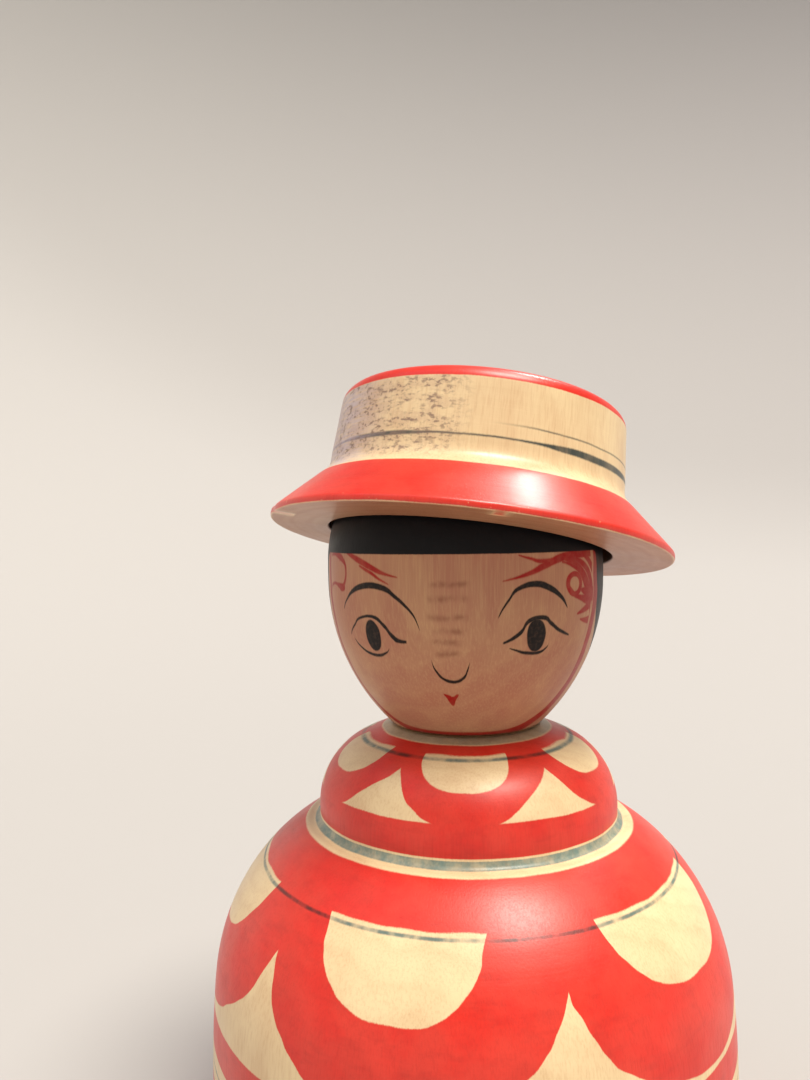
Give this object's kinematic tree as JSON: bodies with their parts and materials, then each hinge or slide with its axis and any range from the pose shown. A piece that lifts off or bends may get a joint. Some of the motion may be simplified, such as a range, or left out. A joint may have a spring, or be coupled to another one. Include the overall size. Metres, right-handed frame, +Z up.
{
  "type": "kokeshi doll",
  "caption": "Turned and painted wooden doll: a round body with a small cape, a plain round head that turns on its neck, and a loose brimmed hat worn askew.",
  "frame": {"origin": "centre of the foot, on the surface that the doll stands on", "axes": "+Z up along the turning axis of body and head, the face looks along -Y, +X is on the right of a person who faces the doll"},
  "size_m": [0.097, 0.097, 0.1521],
  "materials": {
    "painted_body": "waxed gloss over dye",
    "painted_head": "waxed satin over dye",
    "painted_hat": "waxed gloss over dye"
  },
  "bodies": {
    "doll_body": {"body": "painted_body"},
    "doll_head": {"head": "painted_head"},
    "doll_hat": {"hat": "painted_hat"}
  },
  "joints": [
    {"name": "head_turn", "type": "hinge", "parent": "doll_body", "child": "doll_head", "pos_m": [0, 0, 0.0873], "axis": [0, 0, 1], "continuous": true},
    {"name": "hat_lift", "type": "slide", "parent": "doll_head", "child": "doll_hat", "axis": [0.1096, 0.1805, 0.9774], "range_m": [0, 0.04]}
  ]
}
